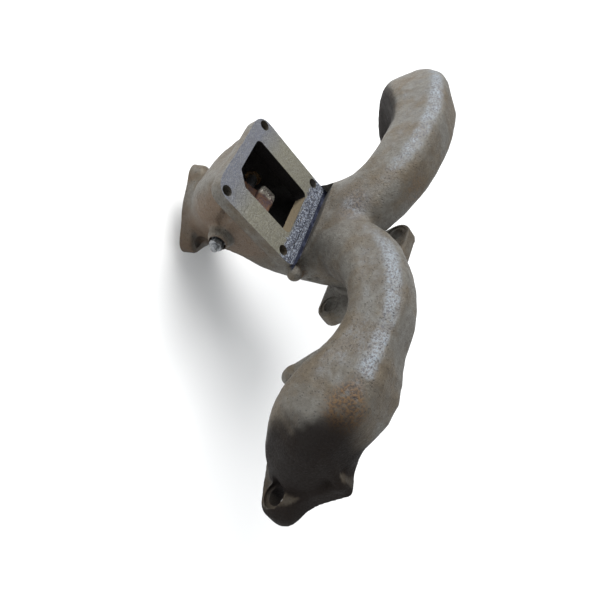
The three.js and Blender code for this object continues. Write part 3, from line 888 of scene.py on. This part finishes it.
def skin_colour(t, skin, grain, cloud):
    """The cast surface: patches of brown and grey, worn ridges with a painted highlight, rust, painted shade
    with some soot, and pores.
    """
    ridge = t.mask("ridge")
    colour = t.mix(t.band(cloud, 0.36, 0.6), linear(96, 87, 73), linear(107, 105, 99))
    colour = t.mix(t.band(grain, 0.35, 0.75), t.mix(0.4, colour, linear(62, 52, 42)), colour)
    colour = t.mix(t.times(t.mask("warm"), 0.65), colour, linear(100, 80, 62))
    # Painted highlight over wear: the ridges that face the light are painted pale blue-grey in pitted
    # patches.
    patches = t.band(t.noise(13, 3, 0.6), 0.36, 0.54, 0.35, 1.0)
    worn_and_lit = t.times(ridge, t.band(skin, 0.36, 0.62), patches)
    colour = t.mix(worn_and_lit, colour, linear(126, 133, 140))
    # Dark blue pits inside the ridges' painted highlight.
    blue = t.times(ridge, t.band(skin, 0.5, 0.38), 0.7)
    colour = t.mix(blue, colour, linear(66, 70, 84))
    rust = t.times(t.mask("rust"), t.band(grain, 0.3, 0.55))
    ochre = t.mix(t.band(skin, 0.4, 0.6), linear(48, 36, 26), linear(98, 72, 40))
    colour = t.mix(t.times(rust, 0.85), colour, ochre)
    # Painted shade, with some soot, darkens the faces turned from the light.
    colour = t.mix(t.times(t.mask("soot_and_shade"), 0.95), colour, linear(20, 15, 14))
    # The passages' walls: painted shade, with soot, near black.
    return t.mix(t.times(t.mask("lined"), 0.97), colour, linear(14, 11, 11)), rust


def riser_colour(t, colour, grain, over, head_side, row):
    """The riser's machined face, pitted on its head side, with the step along that edge painted dark blue as
    shade.
    """
    edge = -RISER_HALF[1] - RISER_APRON
    rim = edge + STEP_WIDTH
    near_face = t.times(t.band(over, 0.5, 0.2), t.band(head_side, edge - 0.6, edge - 0.3),
                        t.band(row, FACING_X + 0.6, FACING_X + 0.3))
    faced = t.times(t.band(over, -0.25, -0.1), near_face)
    wavy = t.math("MULTIPLY_ADD", t.noise(9, 4), 12.0, head_side)
    olive = t.mix(t.band(wavy, 10, 40), linear(110, 107, 92), linear(92, 95, 106))
    olive = t.mix(t.band(grain, 0.35, 0.75), t.mix(0.3, olive, linear(70, 68, 64)), olive)
    brushed = t.band(t.noise(1.1, 3, 0.7), 0.44, 0.6)
    olive = t.mix(brushed, olive, t.mix(0.3, olive, linear(150, 150, 146)))
    pitted = t.band(t.math("MULTIPLY_ADD", t.noise(2.2, 3), 9.0, head_side), -25.0, -28.5)
    fine = t.band(t.noise(1.5, 4, 0.75), 0.44, 0.62)
    speckle = t.mix(fine, linear(58, 61, 72), linear(146, 152, 163))
    # Painted shade: the step along the head-side edge is painted dark blue.
    step = t.times(t.band(head_side, rim + 0.1, rim - 0.3), t.band(over, -5.0, -3.5), near_face)
    blue_step_shade = t.mix(t.band(grain, 0.45, 0.7), linear(34, 38, 56), linear(70, 76, 96))
    colour = t.mix(faced, colour, t.mix(pitted, olive, speckle))
    return t.mix(step, colour, blue_step_shade)


def opening_colour(t, colour, over, head_side, row):
    """The riser's opening: its walls painted near black as shade, and its head-side wall painted light tan as
    if lit.
    """
    half_x, half_y = RISER_OPENING[:2]
    depth = t.times(t.band(over, -0.35, -0.8), t.band(over, -16, -13))
    # Painted shade: the opening's walls, to 16 mm deep, are painted near black.
    walls = t.times(t.band(row, half_x + 0.6, half_x + 0.3),
                    t.band(t.math("ABSOLUTE", head_side), half_y + 0.6, half_y + 0.3),
                    depth, t.band(head_side, 0.1 - half_y, 0.8 - half_y))
    colour = t.mix(walls, colour, linear(16, 13, 13))
    # Painted light: the head-side wall of the opening is painted tan as if lit.
    lit_sill = t.times(t.band(head_side, 0.6 - half_y, 0.2 - half_y), t.band(head_side, -33, -32),
                   t.band(row, half_x + 0.6, half_x + 0.2), depth, 0.8)
    return t.mix(lit_sill, colour, linear(150, 136, 112))


def iron_finish():
    t = Tree("cast_iron", linear(120, 116, 108), metallic=0.4, roughness=0.5)
    skin = t.noise(1.6, 4, 0.7)
    grain = t.noise(4.5, 4, 0.6)
    cloud = t.noise(30, 4, 0.6, 0.4)
    pores = t.band(t.cells(2.6), 0.08, 0.3)
    soot_and_shade = t.mask("soot_and_shade")
    colour, rust = skin_colour(t, skin, grain, cloud)
    colour = t.mix(pores, t.mix(0.45, colour, linear(24, 22, 24)), colour)

    over = t.along((0.0, -math.sin(RISER_TILT), math.cos(RISER_TILT)), RISER_CENTRE)
    head_side = t.along((0.0, math.cos(RISER_TILT), math.sin(RISER_TILT)), RISER_CENTRE)
    row = t.math("ABSOLUTE", t.along((1, 0, 0)))
    colour = riser_colour(t, colour, grain, over, head_side, row)
    colour = opening_colour(t, colour, over, head_side, row)

    head_face = t.band(t.along((0, 1, 0)), 0.25, 0.1)
    down = (0.0, math.sin(OUTLET_TILT), -math.cos(OUTLET_TILT))
    outlet_face = t.band(t.along(down, OUTLET_CENTRE), -0.25, -0.1)
    gasket = t.mix(t.band(cloud, 0.4, 0.6), linear(96, 82, 66), linear(120, 116, 108))
    colour = t.mix(t.math("ADD", head_face, outlet_face), colour, gasket)

    # Rust and the painted shade with soot make the iron duller and less metallic.
    dull = t.math("ADD", rust, soot_and_shade)
    rough = t.band(skin, 0.3, 0.7, 0.46, 0.68)
    rough = t.math("ADD", rough, t.times(dull, 0.22))
    metal = t.band(t.math("ADD", dull, t.mask("lined")), 0.0, 1.0, 0.42, 0.08)
    t.join(t.shader.inputs["Specular IOR Level"], t.band(soot_and_shade, 0.0, 1.0, 0.5, 0.12))
    relief = t.math("ADD", t.times(skin, 0.5), t.times(grain, 0.35))
    relief = t.math("ADD", relief, t.times(pores, 0.15))
    return t.finish(colour, rough, metal, relief, 1.3)


def worn_metal(name, clean, dirty, metallic, roughness, size=3.0, low=0.4, high=0.62, depth=0.3):
    """A metal whose clean colour shows through dirt or rust in patches."""
    t = Tree(name, clean, metallic, roughness)
    patch = t.noise(size, 5, 0.65)
    fine = t.noise(size / 4, 3, 0.6)
    dirt = t.band(patch, low, high)
    colour = t.mix(dirt, clean, dirty)
    colour = t.mix(t.band(fine, 0.42, 0.68), colour, t.mix(0.5, colour, dirty))
    rough = t.band(dirt, 0.0, 1.0, roughness, min(roughness + 0.35, 0.95))
    metal = t.band(dirt, 0.0, 1.0, metallic, metallic * 0.35)
    return t.finish(colour, rough, metal, fine, depth)


def saddle_finish():
    """Rust, with a near-white highlight painted on the block's upper end, made shinier there."""
    t = Tree("saddle_iron", linear(110, 80, 66), metallic=0.3, roughness=0.75)
    patch = t.noise(3.2, 5, 0.65)
    fine = t.noise(0.9, 3, 0.6)
    colour = t.mix(t.band(patch, 0.38, 0.62), linear(104, 76, 56), linear(84, 68, 70))
    colour = t.mix(t.band(fine, 0.5, 0.7), colour, linear(58, 36, 26))
    # Painted highlight: the top of the block's end is painted near white, in patches.
    high = t.band(t.along((0, 0, 1)), -53.0, -50.0)
    end = t.band(t.along((1, 0, 0)), 10.0, 17.0)
    painted_glint = t.times(high, end, t.band(patch, 0.62, 0.42))
    colour = t.mix(painted_glint, colour, linear(226, 222, 208))
    rough = t.band(painted_glint, 0.0, 1.0, 0.8, 0.3)
    metal = t.band(painted_glint, 0.0, 1.0, 0.2, 0.85)
    return t.finish(colour, rough, metal, patch, 0.8)


iron = iron_finish()
plated = worn_metal("plated_steel", linear(140, 143, 146), linear(60, 54, 48), 0.9, 0.3, 5.0, 0.5, 0.75)
rusty = worn_metal("rusty_steel", linear(104, 86, 74), linear(98, 58, 34), 0.5, 0.6, 2.2, 0.35, 0.55, 0.5)
flap_iron = worn_metal("flap_iron", linear(84, 82, 84), linear(62, 44, 34), 0.5, 0.55, 7, 0.42, 0.64, 0.5)
bronze = worn_metal("bush_bronze", linear(150, 118, 78), linear(70, 56, 40), 0.8, 0.42, 2.5)
saddle_iron = saddle_finish()


def coat(obj, material):
    obj.data.materials.clear()
    obj.data.materials.append(material)
    obj.data.polygons.foreach_set("material_index", [0] * len(obj.data.polygons))


coat(casting, iron)

# ------------------------------------------------------------
# The flap and its hardware

SHAFT_FRAME = Matrix.Translation((0, SHAFT[1], SHAFT[2])) @ Matrix.Rotation(math.radians(-90), 4, "Y")


def turned(name, levels, radius, place, bore=None, sides=48):
    """A closed solid of rings: radius(angle, level) at each level, with an optional round bore."""
    angles = [2 * math.pi * i / sides for i in range(sides)]
    points = []
    for level in levels:
        points += [(radius(a, level) * math.cos(a), radius(a, level) * math.sin(a), level) for a in angles]
    faces = []

    def skirt(low, high):
        for i in range(sides):
            j = (i + 1) % sides
            faces.append((low + i, low + j, high + j, high + i))

    for k in range(len(levels) - 1):
        skirt(k * sides, (k + 1) * sides)
    last = (len(levels) - 1) * sides
    if bore:
        inner = len(points)
        for level in (levels[0], levels[-1]):
            points += [(bore * math.cos(a), bore * math.sin(a), level) for a in angles]
        skirt(inner, 0)
        skirt(last, inner + sides)
        skirt(inner + sides, inner)
    else:
        faces.append(tuple(reversed(range(sides))))
        faces.append(tuple(last + i for i in range(sides)))
    placed = [place @ Vector(p) for p in points]
    obj = mesh_object(name, [tuple(p) for p in placed], faces)
    smooth_but_sharp(obj, 30)
    return obj


def piece(obj, body, node, material):
    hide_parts(node)
    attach(obj, body)
    coat(obj, material)


def hexagon_radius(across_flats, chamfer, low, high):
    """The radius of a hexagon whose corners are turned off towards both ends."""
    def radius(angle, level):
        turned_to = (angle % (math.pi / 3)) - math.pi / 6
        flat = across_flats / 2 / math.cos(turned_to)
        end = min(level - low, high - level)
        return min(flat, across_flats / 2 + chamfer + max(end, 0) * 1.6)
    return radius


def steps(low, high, count):
    return [low + (high - low) * i / count for i in range(count + 1)]


nut_radius = hexagon_radius(NUT_ACROSS, 0.05, NUT_LOW, NUT_HIGH)
nut = turned("nut", steps(NUT_LOW, NUT_HIGH, 14), nut_radius, SHAFT_FRAME, THREAD_RADIUS + 0.05, 72)
piece(nut, "flap", "shaft_nut", plated)


def thread_radius(angle, level):
    turn = (level / THREAD_PITCH - angle / (2 * math.pi)) % 1.0
    depth = THREAD_DEPTH * (1 - abs(2 * turn - 1))
    return THREAD_RADIUS - depth - max(0, level - (SHAFT_TIP - 0.8)) * 0.7


def shaft_radius(angle, level):
    if level > BOSS_FACE_X + 0.25:
        return thread_radius(angle, level)
    return SHAFT_RADIUS


shaft_levels = (steps(-(BOSS_FACE_X - 4), BOSS_FACE_X, 20)[:-1] + [BOSS_FACE_X + 0.2]
                + steps(BOSS_FACE_X + 0.26, SHAFT_TIP, 100))
shaft = turned("shaft", shaft_levels, shaft_radius, SHAFT_FRAME, sides=32)
piece(shaft, "flap", "flap_shaft", plated)


def washer_radius(angle, level):
    end = min(level - WASHER_LOW, WASHER_HIGH - level)
    return WASHER_RADIUS - WASHER_EDGE + min(max(end, 0), WASHER_EDGE)


washer_levels = [WASHER_LOW, WASHER_LOW + WASHER_EDGE, WASHER_HIGH - WASHER_EDGE, WASHER_HIGH]
washer = turned("washer", washer_levels, washer_radius, SHAFT_FRAME, THREAD_RADIUS + 0.2)
piece(washer, "flap", "plain_washer", plated)


def spring_ring():
    """A square wire wound almost once round, its ends a little apart."""
    points = []
    count = 40
    for i in range(count + 1):
        angle = math.radians(100 + 346 * i / count)
        lift = -0.22 + 0.44 * i / count
        for radius, level in ((3.25, -0.58), (4.95, -0.58), (4.95, 0.58), (3.25, 0.58)):
            at = (radius * math.cos(angle), radius * math.sin(angle), SPRING_LEVEL + lift + level)
            points.append(SHAFT_FRAME @ Vector(at))
    faces = [(0, 3, 2, 1), tuple(4 * count + k for k in (0, 1, 2, 3))]
    for i in range(count):
        for k in range(4):
            a, b = 4 * i + k, 4 * i + (k + 1) % 4
            faces.append((a, b, b + 4, a + 4))
    obj = mesh_object("spring_ring", [tuple(p) for p in points], faces)
    smooth_but_sharp(obj, 30)
    return obj


piece(spring_ring(), "flap", "spring_washer", plated)

FLAP_FRAME = Matrix.Translation((0, SHAFT[1], SHAFT[2])) @ Matrix.Rotation(FLAP_ANGLE, 4, "X")
SADDLE_BOXES = [
    ((-17, -8, SADDLE_BASE), (17, 8, 6.5), 2.2),
    ((-17, 7, SADDLE_BASE), (17, 18, 0), 1.6),
    ((-1, -22, SADDLE_BASE), (23, -7, 12.5), 3.0),
]                            # low corner, high corner, corner radius
SADDLE_NOISE = ((0.7, 6.0, 11), (0.35, 2.4, 12))


def build_saddle():
    saddle_grid = Grid((-20, -25, -8), (26, 21, 16), 0.6)
    x, y, z = (saddle_grid.axes[i].reshape([-1 if k == i else 1 for k in range(3)]) for i in range(3))
    solid = saddle_grid.full(20.0)
    for low, high, corner in SADDLE_BOXES:
        middle = [(a + b) / 2 for a, b in zip(low, high)]
        half = [(b - a) / 2 for a, b in zip(low, high)]
        flat = rounded_rectangle(x - middle[0], y - middle[1], half[0], half[1], corner)
        solid = smooth_min(solid, capped(flat + 0 * z, z - middle[2] + 0 * x, half[2], corner * 0.6), 1.5)
    for depth, size, seed in SADDLE_NOISE:
        solid = solid + depth * value_noise(saddle_grid, size, SEED + seed)
    solid = np.maximum(solid, SADDLE_BASE - z)
    channel = np.hypot(y, z) - (SHAFT_RADIUS + 0.3)
    solid = np.maximum(solid, -(channel + 0 * x))
    for side in (-1, 1):
        hole = np.hypot(x - side * SCREW_X, y - SCREW_Y) - (SCREW_RADIUS + 0.3)
        solid = np.maximum(solid, -(hole + 0 * z))
    points, quads = surface_net(saddle_grid, solid.astype(np.float32))
    placed = [tuple(FLAP_FRAME @ Vector(p)) for p in points.tolist()]
    obj = mesh_object("saddle", placed, quads)
    smooth_but_sharp(obj, 50)
    return obj


piece(build_saddle(), "flap", "flap_saddle", saddle_iron)


def screw_frame(side):
    return FLAP_FRAME @ Matrix.Translation((side * SCREW_X, SCREW_Y, 0))


def flap_screw(side):
    """A hexagon head with chamfered corners on a threaded shank."""
    tip, seat, top = -13.8, 0.3, 3.8

    def radius(angle, level):
        if level > seat:
            return hexagon_radius(SCREW_ACROSS, 0.1, seat, top)(angle, level)
        turn = (level / 0.8 - angle / (2 * math.pi)) % 1.0
        return SCREW_RADIUS - 0.28 * (1 - abs(2 * turn - 1))

    levels = steps(tip, seat - 0.02, 70) + steps(seat + 0.01, top, 10)
    return turned("screw", levels, radius, screw_frame(side), sides=36)


def flap_nut(side):
    low, high = -12.1, -8.1
    radius = hexagon_radius(SCREW_ACROSS, 0.1, low, high)
    return turned("screw_nut", steps(low, high, 10), radius, screw_frame(side), SCREW_RADIUS + 0.05, 36)


for side, end in ((-1, "front"), (1, "rear")):
    piece(flap_screw(side), "flap", f"saddle_screw_{end}", rusty)
    piece(flap_nut(side), "flap", f"saddle_nut_{end}", rusty)

coat(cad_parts["flap_plate"], flap_iron)
for node in ("front_bush", "rear_bush"):
    coat(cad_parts[node], bronze)
for node in ("shaft_end_plug", "stop_pin"):
    coat(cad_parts[node], plated)

# ------------------------------------------------------------
# Floor, light and camera

floor_z = cad_box[0][2] - 0.0005
bpy.ops.mesh.primitive_plane_add(size=16, location=(0, 0, floor_z))
floor = bpy.context.object
floor.name = "floor"
paper = Tree("paper", (0.93, 0.93, 0.925), metallic=0.0, roughness=0.9)
floor.data.materials.append(paper.material)

CAMERA_AT = Vector((-0.31295, 0.29038, 0.24064))
CAMERA_RIGHT = Vector((0.303, -0.547, 0.781)).normalized()
CAMERA_UP = Vector((0.754, 0.638, 0.154))
CAMERA_UP = (CAMERA_UP - CAMERA_UP.dot(CAMERA_RIGHT) * CAMERA_RIGHT).normalized()
CAMERA_LENS = 34.24
camera_data = bpy.data.cameras.new("camera")
camera_data.sensor_width = 36
camera_data.lens = CAMERA_LENS
camera = bpy.data.objects.new("camera", camera_data)
bpy.context.scene.collection.objects.link(camera)
back = CAMERA_RIGHT.cross(CAMERA_UP)
turn = Matrix((CAMERA_RIGHT, CAMERA_UP, back)).transposed().to_4x4()
camera.matrix_world = Matrix.Translation(CAMERA_AT) @ turn
bpy.context.scene.camera = camera

world = bpy.data.worlds.new("studio")
bpy.context.scene.world = world
world.use_nodes = True
sky = world.node_tree.nodes["Background"]
sky.inputs["Color"].default_value = (0.96, 0.98, 1, 1)
sky.inputs["Strength"].default_value = 0.72
bpy.context.scene.view_settings.view_transform = "Standard"


def lamp(name, kind, at, target, size, power):
    data = bpy.data.lights.new(name, kind)
    data.energy = power
    if kind == "SUN":
        data.angle = size
    else:
        data.size = size
    obj = bpy.data.objects.new(name, data)
    bpy.context.scene.collection.objects.link(obj)
    obj.location = at
    obj.rotation_euler = (Vector(target) - Vector(at)).to_track_quat("-Z", "Y").to_euler()


lamp("key", "SUN", (0.55, 0.75, 0.95), (0, 0, 0), math.radians(50), 2.7)
lamp("far", "AREA", (0.45, 0.6, 0.45), (0.1, 0.06, 0.04), 0.35, 3.5)
